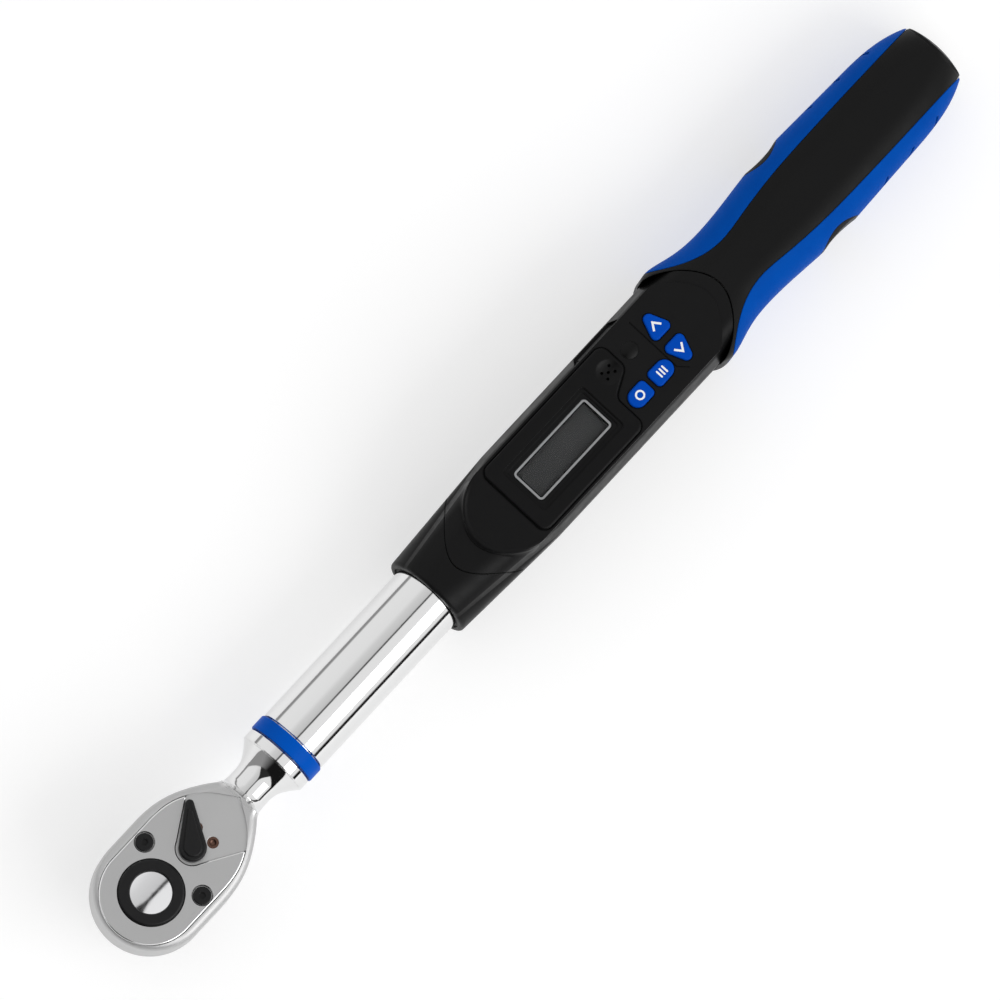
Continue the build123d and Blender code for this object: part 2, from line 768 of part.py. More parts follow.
def port_recess(outer, floor):
    """Shallow pocket with slanted ends in the side, and the opening behind it."""
    x_low, x_high = PORT_X
    sides = [(x_low - 6.2, 14.0), (x_low + 7.4, 24.0), (x_high - 6.2, 24.0), (x_high + 6.2, 14.0)]
    pocket = prism(polygon(sides), PORT_Z[0] - 0.6, PORT_Z[1] + 0.6) & (outer - floor)
    opening = block(
        (x_low - 0.2, x_high + 0.2), (11.0, FAR), (PORT_Z[0] - 0.6, PORT_Z[1] + 0.35)
    )
    return pocket, opening


def top_cover(outer, cavity, floor):
    shell = outer - cavity
    body = shell & prism(cover_plan(COVER_GAP), PART_Z + 0.1, FAR)
    body += panel() - cavity
    for post in bosses(PART_Z + 0.1, 33.0):
        body += post & outer
    body -= rod_x(TUBE_R + 0.2, 0, FAR + CASE_END)
    body -= block(OPENING_X, (-OPENING_HALF, OPENING_HALF), (25.0, FAR))
    seat = CASE_TOP + PANEL_RISE
    frame = bezel_outline()
    body -= prism(offset(frame, BEZEL_GROOVE) - frame, seat - 0.5, FAR)
    body -= buzzer_holes()
    body -= rod_z(LAMP_R + 0.05, 30.0, FAR, *LAMP_XY)
    for circles in key_outlines(KEY_GAP).values():
        body -= prism(hull(circles), 30.0, FAR)
    body -= block((252.0, 252.3), (-9.0, 13.0), (seat - 0.3, FAR))
    body -= Pos(253.6, -10.7, seat) * Rot(0, 0, 40) * Box(0.3, 4.6, 0.6)
    pocket, opening = port_recess(outer, floor)
    body -= pocket
    body -= opening
    for x, y in case_screw_places():
        body -= rod_z(1.2, 0, 28.5, x, y)
    return one(body)


def mouth_seal():
    """Soft ring between the housing's mouth and the tube."""
    seal = rod_x(SEAL_R - 0.02, MOUTH_X - 10, MOUTH_X + 5.9) - leaning(MOUTH_X + 0.5)
    return one(seal - rod_x(TUBE_R + 0.02, 0, 200))


def bezel_outline():
    """Rounded frame whose right side curves round the sounder."""
    half = BEZEL_HALF
    corners = [
        (BEZEL_LEFT, -half),
        (BEZEL_LEFT, half),
        (BEZEL_FAR, half),
        (BEZEL_FAR, 3.6),
        (BEZEL_RIGHT, -1.4),
        (BEZEL_RIGHT, -half),
    ]
    return fillet(polygon(corners).vertices(), BEZEL_CORNER)


def rounded_block(x, half, z, corner):
    """A box with rounded vertical edges, even about the handle's axis."""
    body = block(x, (-half, half), z)
    return fillet(body.edges().filter_by(Axis.Z), corner)


def display_bezel():
    """Raised frame, stepped down to the window, that plugs the cover's opening."""
    seat = CASE_TOP + PANEL_RISE
    frame = prism(bezel_outline(), seat, seat + BEZEL_RISE)
    frame = fillet(frame.faces().sort_by(Axis.Z)[-1].edges(), 0.7)
    plug_x = (OPENING_X[0] + GAP, OPENING_X[1] - GAP)
    plug_y = (GAP - OPENING_HALF, OPENING_HALF - GAP)
    frame += block(plug_x, plug_y, (LCD_TOP + GAP, seat))
    frame -= rounded_block(RECESS_X, RECESS_HALF, (seat + 0.5, FAR), 1.4)
    frame -= rounded_block(LEDGE_X, LEDGE_HALF, (seat + 0.05, FAR), 1.2)
    lens_x = (LENS_X[0] - GAP, LENS_X[1] + GAP)
    frame -= rounded_block(lens_x, LENS_HALF + GAP, (LENS_SEAT, FAR), LENS_CORNER + GAP)
    frame -= block(VIEW_X, (-VIEW_HALF, VIEW_HALF), (0, FAR))
    frame -= buzzer_holes()
    return one(frame)


def display_lens():
    top = CASE_TOP + PANEL_RISE
    return rounded_block(LENS_X, LENS_HALF, (LENS_SEAT + 0.02, top), LENS_CORNER)


def lcd_module():
    return block(LCD_X, (-LCD_HALF, LCD_HALF), (BOARD_Z[1] + 0.05, LCD_TOP))


def circuit_board():
    board = block(BOARD, (-BOARD_HALF, BOARD_HALF), BOARD_Z)
    for x, y in board_screw_places():
        board -= rod_z(1.2, 0, FAR, x, y)
    return one(board)


def board_screw_places():
    return [(182.6, 9.5), (182.6, -9.5), (257.6, 11.3), (257.6, -11.3)]


def board_screws():
    screws = []
    for x, y in board_screw_places():
        shank = rod_z(1.1, BOARD_Z[0] - 1.2, BOARD_Z[1], x, y)
        screws.append(shank + rod_z(1.9, BOARD_Z[1], BOARD_Z[1] + 1.0, x, y))
    return Compound(screws)


def board_chips():
    low = BOARD_Z[1]
    chips = [
        block((227.0, 231.4), (-10.5, -5.5), (low, low + 0.6)),
        block((188.0, 196.0), (-12.3, -9.9), (low, low + 0.9)),
        block((216.0, 223.0), (10.0, 12.3), (low, low + 0.9)),
    ]
    return Compound(chips)


def keypad_mat():
    """Soft mat with a dome under each key."""
    low = BOARD_Z[1]
    mat = block((233.0, 261.0), (-9.2, 0.6), (low, low + 0.5))
    mat += block((253.4, 261.0), (0.6, 9.2), (low, low + 0.5))
    for circles in key_outlines().values():
        x = sum(circle[0] for circle in circles) / 3
        y = sum(circle[1] for circle in circles) / 3
        mat += rod_z(2.4, low, MAT_TOP, x, y)
    mat &= block((0, BOARD[1]), (-FAR, FAR), (0, FAR))
    return one(mat)


def key(circles):
    """Domed key with a flange under the cover."""
    flange = [(x, y, r + 0.5) for x, y, r in circles]
    top = CASE_TOP + PANEL_RISE + KEY_RISE
    body = prism(hull(circles), KEY_BOTTOM + 0.7, top)
    body = fillet(body.faces().sort_by(Axis.Z)[-1].edges(), 0.7)
    body += prism(hull(flange), KEY_BOTTOM, KEY_BOTTOM + 0.7)
    body &= block((0, CASE_END - 0.2), (-FAR, FAR), (0, FAR)) + prism(hull(circles), 0, FAR)
    return one(body)


def buzzer():
    x, y = BUZZER_XY
    body = rod_z(4.4, BOARD_Z[1], 31.4, x, y)
    return one(body - rod_z(1.2, 30.6, FAR, x, y))


def led_lens():
    """Low dome in a close-fitting hole."""
    x, y = LAMP_XY
    top = CASE_TOP + PANEL_RISE + LAMP_DOME
    dome_r = (LAMP_R**2 + LAMP_DOME**2) / (2 * LAMP_DOME)
    dome = Pos(x, y, top - dome_r) * Sphere(dome_r)
    return one(rod_z(LAMP_R, 33.4, FAR, x, y) & dome)


def led():
    x, y = LAMP_XY
    return one(rod_z(1.5, BOARD_Z[1], 32.2, x, y) + Pos(x, y, 32.2) * Sphere(1.0))


def port_cover():
    """Soft flap that fills the opening, with a round hinge along its lower edge."""
    y, z = FLAP_HINGE
    flap = case_envelope(0.9) - case_envelope(2.0)
    flap &= block(PORT_X, (10.0, FAR), (z, PORT_Z[1]))
    return one(flap + rod_x(FLAP_HINGE_R, *PORT_X, y, z))


def port_connector():
    shell = block((240.0, 246.8), (9.6, 13.4), (24.8, BOARD_Z[0]))
    return one(shell - block((240.6, 246.2), (10.4, 14.0), (25.4, BOARD_Z[0] - 0.6)))


# ---- grip ----
def grip_envelope(inset=0.0):
    sections = []
    for x, width, bottom, top, corner in GRIP_SECTIONS:
        plane = Plane((x, 0, (bottom + top) / 2), x_dir=(0, 1, 0), z_dir=(1, 0, 0))
        outline = RectangleRounded(
            width - 2 * inset, top - bottom - 2 * inset, max(corner - inset, 1.0)
        )
        sections.append(plane * outline)
    return loft(sections)


def pad_plan(side, inset=0.0):
    """Plan of one blue pad: bounded inwards by the black centre panel."""
    outside = 26.0
    start = (PAD_START[0] + inset, side * PAD_START[1])
    points = [(x, side * (y + inset)) for x, y in PAD_EDGE]
    inner = Spline(start, *points)
    corners = [(points[-1][0], side * outside), (start[0], side * outside)]
    return make_face([inner, Polyline(points[-1], *corners, start)])


def pad_block(side, inset=0.0):
    return prism(pad_plan(side, inset), -FAR, FAR)


def mark_block(side, grow=0.0):
    """Tall round-ended block across the side of the grip, where the hand pulls."""
    reach = (8.0, 30.0) if side > 0 else (-30.0, -8.0)
    low, high = MARK_Z
    radius = MARK_R + grow
    ends = rod_y(radius, *reach, MARK_X, low) + rod_y(radius, *reach, MARK_X, high)
    return ends + block((MARK_X - radius, MARK_X + radius), reach, (low, high))


def mark_scoop(side):
    """Upright cylinder that dishes the side of the grip."""
    radius = (MARK_R**2 + MARK_DEPTH**2) / (2 * MARK_DEPTH)
    surface = 19.0
    return rod_z(radius, -FAR, FAR, MARK_X, side * (surface + radius - MARK_DEPTH))


def rib_cuts(side, skin):
    """Leaning grooves across the outside of a pad."""
    cuts = []
    for x in RIB_PLACES:
        groove = Pos(x, side * 16.0, 13.0) * Rot(0, RIB_SLANT, 0) * Box(1.3, 26.0, 24.0)
        cuts.append(groove - skin)
    return cuts


def grip_pad(side, outer, inner, skin):
    pad = (outer & pad_block(side, 0.15)) - inner
    pad -= mark_block(side, 0.15)
    pad -= rod_x(TUBE_R + 0.6, 0, TUBE_END + 0.6)
    for cut in rib_cuts(side, skin):
        pad -= cut
    return one(pad)


def grip_mark(side, outer, inner):
    mark = mark_block(side) & outer
    mark -= inner
    mark -= rod_x(TUBE_R + 0.6, 0, TUBE_END + 0.6)
    return one(mark - mark_scoop(side))


def grip_core(outer, inner):
    core = outer
    for side in (1, -1):
        core -= pad_block(side) - inner
        core -= mark_block(side) - inner
    core -= prism(cover_plan(-0.3), PART_Z - 0.2, FAR)
    core -= rod_x(TUBE_R + FIT, 0, TUBE_END + 0.2)
    core -= rod_x(CAP_R + 0.2, TUBE_END, 400)
    core -= rod_z(2.8, -FAR, 1.0, GRIP_SCREW_X)
    return one(core)


def grip_screw():
    x = GRIP_SCREW_X
    head = rod_z(2.6, -1.4, 0.25, x)
    socket = Pos(x, 0, -2.4) * extrude(RegularPolygon(1.2, 6), 2)
    return one(head + rod_z(1.45, 0.25, 2.0, x) - socket)


# ---- batteries and cap ----
def battery_sleeve():
    body = rod_x(TUBE_BORE - 0.1, *SLEEVE)
    return one(body - rod_x(SLEEVE_BORE, SLEEVE[0] + 1.5, SLEEVE[1] + 1))


def battery(number):
    start = CELL_START + number * CELL_PITCH
    body = fillet(rod_x(CELL_R, start, start + CELL_LENGTH).edges(), 0.6)
    return one(body + rod_x(2.7, start + CELL_LENGTH - 0.1, start + CELL_LENGTH + 1.0))


def front_contact():
    start = SLEEVE[0] + 1.55
    plate = rod_x(6.5, start, start + 0.5)
    room = CELL_START - start - 1.5
    spring = Pos(start + 0.9, 0, AXIS_Z) * Rot(0, 90, 0) * coil(4.0, 0.4, room / 3, room)
    return Compound([one(plate), one(spring)])


def cap_contact():
    start = SLEEVE[1] + 0.2
    return one(rod_x(6.0, start, start + 0.8) + rod_x(2.0, start + 0.8, CAP_SEAT - 9.3))


def battery_cap():
    """Plug with an O-ring groove and a domed end with a coin slot."""
    nose = CAP_SEAT - 8.8
    groove = (CAP_SEAT - 5.3, CAP_SEAT - 3.3)
    flange = CAP_SEAT - 1.5
    rim = CAP_SEAT + 3.0
    edges = [
        Line((nose, 0), (nose, CAP_PLUG_R - 0.5)),
        Line((nose, CAP_PLUG_R - 0.5), (nose + 0.5, CAP_PLUG_R)),
        Line((nose + 0.5, CAP_PLUG_R), (groove[0], CAP_PLUG_R)),
        Line((groove[0], CAP_PLUG_R), (groove[0], 9.5)),
        Line((groove[0], 9.5), (groove[1], 9.5)),
        Line((groove[1], 9.5), (groove[1], CAP_PLUG_R)),
        Line((groove[1], CAP_PLUG_R), (flange, CAP_PLUG_R)),
        Line((flange, CAP_PLUG_R), (flange, CAP_R)),
        Line((flange, CAP_R), (rim, CAP_R)),
        ThreePointArc((rim, CAP_R), (CAP_END - 0.6, 6.4), (CAP_END, 0)),
        Line((CAP_END, 0), (nose, 0)),
    ]
    cap = turned_x(edges)
    slot = block((CAP_END - 1.6, 400), (-0.9, 0.9), (AXIS_Z - 6.5, AXIS_Z + 6.5))
    return one(cap - slot)


def cap_o_ring():
    return Pos(CAP_SEAT - 4.3, 0, AXIS_Z) * Rot(0, 90, 0) * Torus(10.45, 0.85)


def main():
    os.makedirs("parts", exist_ok=True)
    outer = case_envelope()
    cavity = case_envelope(WALL)
    cavity &= block((MOUTH_X + 8, CASE_END + 6), (-FAR, FAR), (-FAR, FAR))
    floor = case_envelope(1.0)
    grip_outer = grip_envelope()
    grip_inner = grip_envelope(PAD_THICK)
    grip_skin = grip_envelope(0.7)

    pieces = {
        "ratchet_head": ratchet_head(),
        "head_cover_plate": head_cover_plate(),
        "cover_screws": cover_screws(),
        "lever_detent_seats": lever_detent_seats(),
        "drive_gear": drive_gear(),
        "thumb_ring": thumb_ring(),
        "release_button": release_button(),
        "release_spring": release_spring(),
        "detent_ball": detent_ball(),
        "pawl": pawl(),
        "pawl_plunger": pawl_plunger(),
        "pawl_spring": pawl_spring(),
        "reversing_lever": reversing_lever(),
        "marking_ring": marking_ring(),
        "tube": tube(),
        "beam_pins": beam_pins(),
        "strain_gauges": strain_gauges(),
        "gauge_ribbon": gauge_ribbon(),
        "lower_case": lower_case(outer, cavity),
        "top_cover": top_cover(outer, cavity, floor),
        "case_screws": case_screws(),
        "mouth_seal": mouth_seal(),
        "display_bezel": display_bezel(),
        "display_lens": display_lens(),
        "lcd_module": lcd_module(),
        "circuit_board": circuit_board(),
        "board_screws": board_screws(),
        "board_chips": board_chips(),
        "keypad_mat": keypad_mat(),
        "buzzer": buzzer(),
        "led_lens": led_lens(),
        "led": led(),
        "port_cover": port_cover(),
        "port_connector": port_connector(),
        "grip_core": grip_core(grip_outer, grip_inner),
        "grip_pad_left": grip_pad(1, grip_outer, grip_inner, grip_skin),
        "grip_pad_right": grip_pad(-1, grip_outer, grip_inner, grip_skin),
        "grip_mark_left": grip_mark(1, grip_outer, grip_inner),
        "grip_mark_right": grip_mark(-1, grip_outer, grip_inner),
        "grip_screw": grip_screw(),
        "battery_sleeve": battery_sleeve(),
        "battery_front": battery(0),
        "battery_rear": battery(1),
        "front_contact": front_contact(),
        "cap_contact": cap_contact(),
        "battery_cap": battery_cap(),
        "cap_o_ring": cap_o_ring(),
    }
    for name, circles in key_outlines().items():
        pieces[name] = key(circles)
    for name, shape in pieces.items():
        save(name, shape)


main()
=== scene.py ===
import json
import math

import bmesh
import bpy
from mathutils import Matrix, Vector


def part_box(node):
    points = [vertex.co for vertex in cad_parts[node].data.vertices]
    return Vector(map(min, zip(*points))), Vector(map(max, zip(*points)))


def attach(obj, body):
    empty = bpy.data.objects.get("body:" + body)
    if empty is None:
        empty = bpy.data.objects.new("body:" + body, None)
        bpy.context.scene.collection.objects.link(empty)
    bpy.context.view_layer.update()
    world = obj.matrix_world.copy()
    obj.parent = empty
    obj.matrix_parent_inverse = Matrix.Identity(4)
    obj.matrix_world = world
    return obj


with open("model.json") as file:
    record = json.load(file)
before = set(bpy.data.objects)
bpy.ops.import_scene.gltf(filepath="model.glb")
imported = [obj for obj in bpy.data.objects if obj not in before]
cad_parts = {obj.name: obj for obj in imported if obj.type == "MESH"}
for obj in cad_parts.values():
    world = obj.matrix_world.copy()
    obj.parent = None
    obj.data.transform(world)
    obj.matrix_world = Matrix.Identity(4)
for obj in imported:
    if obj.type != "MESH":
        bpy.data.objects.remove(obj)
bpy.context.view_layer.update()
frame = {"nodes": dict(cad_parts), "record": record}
NODES = frame["nodes"]
MM = 0.001
LEVEL = (0.965, 0.995)          # upward share of a chrome surface's normal, at its rim and on its face
SATIN_END = (0.0425, 0.0455)    # along X, where the satin of the head gives way to polish
TUBE_START = (0.0660, 0.0680)   # along X, where the slightly duller plating of the tube starts
NOISE_CORE = (0.3, 0.7)         # the span of a noise texture that the layers make use of
scene = bpy.context.scene


# ---- shader helpers ----
class Shader:
    """A principled material built up from small procedural layers, in object space."""

    def __init__(self, name, colour, metallic=0.0, roughness=0.5, specular=0.5):
        self.mat = bpy.data.materials.new(name)
        self.mat.use_nodes = True
        self.tree = self.mat.node_tree
        self.bsdf = self.tree.nodes["Principled BSDF"]
        self.set("Base Color", (*colour, 1.0))
        self.set("Metallic", metallic)
        self.set("Roughness", roughness)
        self.set("Specular IOR Level", specular)
        self.colour = colour
        self.roughness = roughness
        self.coords = self.node("ShaderNodeTexCoord").outputs["Object"]
        self.normal = None

    def node(self, kind, **settings):
        made = self.tree.nodes.new(kind)
        for key, value in settings.items():
            setattr(made, key, value)
        return made

    def set(self, socket, value):
        self.bsdf.inputs[socket].default_value = value

    def link(self, source, target):
        self.tree.links.new(source, target)

    def stretched(self, factors):
        mapping = self.node("ShaderNodeMapping")
        mapping.inputs["Scale"].default_value = factors
        self.link(self.coords, mapping.inputs["Vector"])
        return mapping.outputs["Vector"]

    def noise(self, scale, detail=4.0, stretch=None, rough=0.55):
        made = self.node("ShaderNodeTexNoise")
        made.inputs["Scale"].default_value = scale
        made.inputs["Detail"].default_value = detail
        made.inputs["Roughness"].default_value = rough
        self.link(self.stretched(stretch) if stretch else self.coords, made.inputs["Vector"])
        return made.outputs["Fac"]

    def ramp(self, source, low, high, to_low, to_high):
        """Map a value between two others, each a number or another layer."""
        made = self.node("ShaderNodeMapRange", clamp=True)
        made.inputs["From Min"].default_value = low
        made.inputs["From Max"].default_value = high
        for name, value in (("To Min", to_low), ("To Max", to_high)):
            if isinstance(value, (int, float)):
                made.inputs[name].default_value = value
            else:
                self.link(value, made.inputs[name])
        self.link(source, made.inputs["Value"])
        return made.outputs["Result"]

    def axis(self, name, normal=False):
        """Place along an axis of the object, or how far the surface faces along it."""
        split = self.node("ShaderNodeSeparateXYZ")
        source = self.coords.node.outputs["Normal"] if normal else self.coords
        self.link(source, split.inputs["Vector"])
        return split.outputs[name]

    def add(self, first, second):
        made = self.node("ShaderNodeMath", operation="ADD")
        self.link(first, made.inputs[0])
        self.link(second, made.inputs[1])
        return made.outputs["Value"]

    def vary_roughness(self, scale, spread, detail=4.0, stretch=None):
        source = self.noise(scale, detail, stretch)
        low, high = self.roughness - spread, self.roughness + spread
        self.link(self.ramp(source, *NOISE_CORE, max(low, 0.0), high), self.bsdf.inputs["Roughness"])
        return self

    def vary_colour(self, scale, other, detail=5.0, low=0.4, high=0.7, stretch=None):
        mix = self.node("ShaderNodeMix", data_type="RGBA")
        mix.inputs["A"].default_value = (*self.colour, 1.0)
        mix.inputs["B"].default_value = (*other, 1.0)
        factor = self.ramp(self.noise(scale, detail, stretch), low, high, 0.0, 1.0)
        self.link(factor, mix.inputs["Factor"])
        self.link(mix.outputs["Result"], self.bsdf.inputs["Base Color"])
        return self

    def grain(self, scale, depth, detail=3.0, stretch=None, strength=1.0):
        bump = self.node("ShaderNodeBump")
        bump.inputs["Strength"].default_value = strength
        bump.inputs["Distance"].default_value = depth
        self.link(self.noise(scale, detail, stretch), bump.inputs["Height"])
        if self.normal:
            self.link(self.normal, bump.inputs["Normal"])
        self.normal = bump.outputs["Normal"]
        self.link(self.normal, self.bsdf.inputs["Normal"])
        return self

    def soft_edges(self, radius):
        """Rounds the shading of sharp edges, as on a moulded or tumbled part."""
        bevel = self.node("ShaderNodeBevel", samples=4)
        bevel.inputs["Radius"].default_value = radius
        self.normal = bevel.outputs["Normal"]
        self.link(self.normal, self.bsdf.inputs["Normal"])
        return self


# ---- materials ----
def chrome():
    """Polished plating, left satin on the ratchet head and dullest on its face. On the head, the
    sloping rim is given a slightly darker grey than the level face: painted shade.
    """
    made = Shader("chrome", (0.83, 0.835, 0.845), metallic=1.0, roughness=0.07)
    made.soft_edges(0.3 * MM)
    along = made.axis("X")
    up = made.axis("Z", normal=True)
    # satin tone of the head, with painted shade: surfaces tilted away from level get a darker grey
    # than the level face
    satin_and_painted_rim_shade = made.ramp(up, *LEVEL, 0.54, 0.58)
    made.link(made.ramp(along, *SATIN_END, satin_and_painted_rim_shade, 0.77), made.bsdf.inputs["Base Color"])
    dull = made.ramp(up, *LEVEL, 0.52, 0.36)
    finish = made.ramp(along, *SATIN_END, dull, 0.05)
    tube = made.ramp(along, *TUBE_START, 0.0, 0.02)
    spread = made.ramp(made.noise(160), *NOISE_CORE, -0.01, 0.02)
    finish = made.add(made.add(finish, tube), spread)
    made.link(finish, made.bsdf.inputs["Roughness"])
    return made.grain(55, 0.004 * MM, strength=0.3)


def satin_plate():
    """Satin on the level face, polished on its rounded edges."""
    made = Shader("satin_plate", (0.50, 0.50, 0.505), metallic=1.0, roughness=0.34)
    up = made.axis("Z", normal=True)
    level = (0.93, 0.997)
    made.link(made.ramp(up, *level, 0.88, 0.57), made.bsdf.inputs["Base Color"])
    finish = made.ramp(up, *level, 0.14, 0.34)
    spread = made.ramp(made.noise(1400, stretch=(1, 6, 1)), *NOISE_CORE, -0.05, 0.05)
    made.link(made.add(finish, spread), made.bsdf.inputs["Roughness"])
    return made.grain(5200, 0.006 * MM, stretch=(1, 0.25, 1), strength=0.5)


def drive_steel():
    made = Shader("drive_steel", (0.60, 0.60, 0.61), metallic=1.0, roughness=0.24)
    made.soft_edges(0.3 * MM).vary_roughness(700, 0.06, stretch=(1, 1, 8))
    return made.grain(2600, 0.004 * MM, stretch=(1, 1, 8), strength=0.5)


def polished_steel():
    made = Shader("polished_steel", (0.80, 0.80, 0.81), metallic=1.0, roughness=0.1)
    return made.vary_roughness(500, 0.03).grain(900, 0.002 * MM, strength=0.4)


def black_metal():
    made = Shader("black_metal", (0.006, 0.006, 0.0065), roughness=0.36, specular=0.25)
    made.soft_edges(0.35 * MM).vary_roughness(900, 0.08)
    return made.grain(3800, 0.02 * MM, strength=0.35)


def brass():
    made = Shader("brass", (0.15, 0.085, 0.065), metallic=1.0, roughness=0.4)
    return made.vary_colour(2200, (0.10, 0.055, 0.04)).grain(3000, 0.01 * MM)


def spring_steel():
    made = Shader("spring_steel", (0.50, 0.50, 0.51), metallic=1.0, roughness=0.3)
    return made.vary_roughness(800, 0.07).grain(2500, 0.005 * MM)


def blue_ring():
    made = Shader("blue_ring", (0.0, 0.082, 0.47), roughness=0.35, specular=0.03)
    made.soft_edges(0.3 * MM).vary_roughness(700, 0.05)
    return made.grain(2600, 0.01 * MM, strength=0.3)


def black_plastic():
    made = Shader("black_plastic", (0.0045, 0.0045, 0.0047), roughness=0.42, specular=0.13)
    made.soft_edges(0.6 * MM).vary_roughness(240, 0.05)
    return made.grain(3200, 0.03 * MM, detail=2, strength=0.35)


def bezel_plastic():
    made = Shader("bezel_plastic", (0.0038, 0.0038, 0.004), roughness=0.34, specular=0.13)
    made.soft_edges(0.6 * MM).vary_roughness(300, 0.05)
    return made.grain(4200, 0.02 * MM, detail=2, strength=0.25)


def window():
    made = Shader("window", (0.92, 0.93, 0.93), roughness=0.04, specular=0.15)
    made.set("Transmission Weight", 1.0)
    made.set("IOR", 1.15)
    return made.vary_roughness(90, 0.015).grain(40, 0.0005 * MM, strength=0.1)


def lcd():
    made = Shader("lcd", (0.052, 0.052, 0.053), roughness=0.5, specular=0.1)
    return made.vary_colour(60, (0.056, 0.056, 0.057)).grain(6000, 0.002 * MM, strength=0.3)


def board():
    made = Shader("board", (0.01, 0.10, 0.035), roughness=0.35)
    return made.vary_colour(700, (0.015, 0.14, 0.05)).grain(1500, 0.02 * MM)


def chips():
    made = Shader("chips", (0.012, 0.012, 0.012), roughness=0.55)
    return made.vary_roughness(900, 0.08).grain(4000, 0.02 * MM)


def black_rubber():
    made = Shader("black_rubber", (0.004, 0.004, 0.004), roughness=0.5, specular=0.12)
    made.soft_edges(0.3 * MM).vary_roughness(600, 0.08)
    return made.grain(2600, 0.03 * MM, strength=0.5)


def mat_rubber():
    made = Shader("mat_rubber", (0.42, 0.42, 0.42), roughness=0.6)
    return made.vary_roughness(500, 0.08).grain(2500, 0.02 * MM)


def blue_key():
    made = Shader("blue_key", (0.0, 0.062, 0.44), roughness=0.32, specular=0.04)
    made.soft_edges(0.5 * MM).vary_roughness(900, 0.05)
    return made.grain(4200, 0.012 * MM, strength=0.3)


def lamp_dark():
    made = Shader("lamp_dark", (0.0045, 0.0045, 0.0045), roughness=0.34, specular=0.13)
    return made.vary_roughness(300, 0.05).grain(1200, 0.01 * MM, strength=0.3)


def lamp_red():
    made = Shader("lamp_red", (0.5, 0.02, 0.015), roughness=0.15)
    return made.vary_roughness(500, 0.04).grain(1500, 0.005 * MM)


def port_metal():
    made = Shader("port_metal", (0.6, 0.6, 0.6), metallic=1.0, roughness=0.25)
    return made.vary_roughness(900, 0.06).grain(2500, 0.005 * MM)


def grip_black():
    made = Shader("grip_black", (0.0048, 0.0048, 0.0049), roughness=0.5, specular=0.13)
    made.soft_edges(0.5 * MM).vary_roughness(180, 0.05)
    return made.grain(2600, 0.035 * MM, detail=2, strength=0.45)


def grip_blue():
    made = Shader("grip_blue", (0.0, 0.070, 0.39), roughness=0.5, specular=0.02)
    made.soft_edges(0.6 * MM).vary_colour(90, (0.0, 0.062, 0.36)).vary_roughness(260, 0.05)
    return made.grain(2600, 0.03 * MM, detail=2, strength=0.4)


def screw_steel():
    made = Shader("screw_steel", (0.30, 0.30, 0.31), metallic=1.0, roughness=0.38)
    made.soft_edges(0.2 * MM)
    return made.vary_roughness(900, 0.08).grain(2500, 0.01 * MM)


def foil():
    made = Shader("foil", (0.55, 0.25, 0.04), roughness=0.3)
    return made.vary_colour(1500, (0.45, 0.2, 0.05)).grain(2000, 0.01 * MM)


def sleeve_plastic():
    made = Shader("sleeve_plastic", (0.03, 0.03, 0.033), roughness=0.5)
    return made.vary_roughness(400, 0.06).grain(2000, 0.02 * MM)


def cell():
    made = Shader("cell", (0.25, 0.26, 0.28), metallic=0.6, roughness=0.35)
    return made.vary_roughness(300, 0.06).grain(1500, 0.01 * MM)


def cap_plastic():
    made = Shader("cap_plastic", (0.0048, 0.0048, 0.005), roughness=0.48, specular=0.15)
    made.soft_edges(0.4 * MM).vary_roughness(300, 0.05)
    return made.grain(2800, 0.03 * MM, strength=0.4)


def light_grey_ink():
    made = Shader("light_grey_ink", (0.27, 0.275, 0.28), roughness=0.5, specular=0.1)
    return made.vary_colour(900, (0.31, 0.315, 0.32)).grain(3000, 0.004 * MM)


def white_ink():
    made = Shader("white_ink", (0.88, 0.88, 0.88), roughness=0.4)
    return made.vary_roughness(900, 0.05).grain(3000, 0.004 * MM)


MAKERS = (
    chrome, satin_plate, drive_steel, polished_steel, black_metal, brass, spring_steel,
    blue_ring, black_plastic, bezel_plastic, window, lcd, board, chips, black_rubber,
    mat_rubber, blue_key, lamp_dark, lamp_red, port_metal, grip_black, grip_blue,
    screw_steel, foil, sleeve_plastic, cell, cap_plastic, light_grey_ink, white_ink,
)
MATERIALS = {make.__name__: make().mat for make in MAKERS}


def dress_cad_nodes():
    """Every CAD node takes the material named by its slot."""
    for part in frame["record"]["subparts"]:
        node = NODES[part["node"]]
        node.data.materials.clear()
        node.data.materials.append(MATERIALS[part["material_slot"]])


# ---- mesh helpers ----
def add_piece(name, mesh, material, body):
    mesh.materials.append(MATERIALS[material])
    piece = bpy.data.objects.new(name, mesh)
    scene.collection.objects.link(piece)
    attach(piece, body)
    return piece


def outline_points(corners, radius, steps=6):
    """Closed outline round the given corners, each one turned by an arc."""
    points = []
    count = len(corners)
    for index, corner in enumerate(corners):
        here = Vector(corner)
        before = (Vector(corners[index - 1]) - here).normalized()
        after = (Vector(corners[(index + 1) % count]) - here).normalized()
        half = before.angle(after) / 2
        centre = here + (before + after).normalized() * radius / math.sin(half)
        start = here + before * radius / math.tan(half) - centre
        end = here + after * radius / math.tan(half) - centre
        turn = start.angle_signed(end)
        for step in range(steps + 1):
            angle = turn * step / steps
            arm = start.copy()
            arm.rotate(Matrix.Rotation(-angle, 2))
            points.append(centre + arm)
    return points


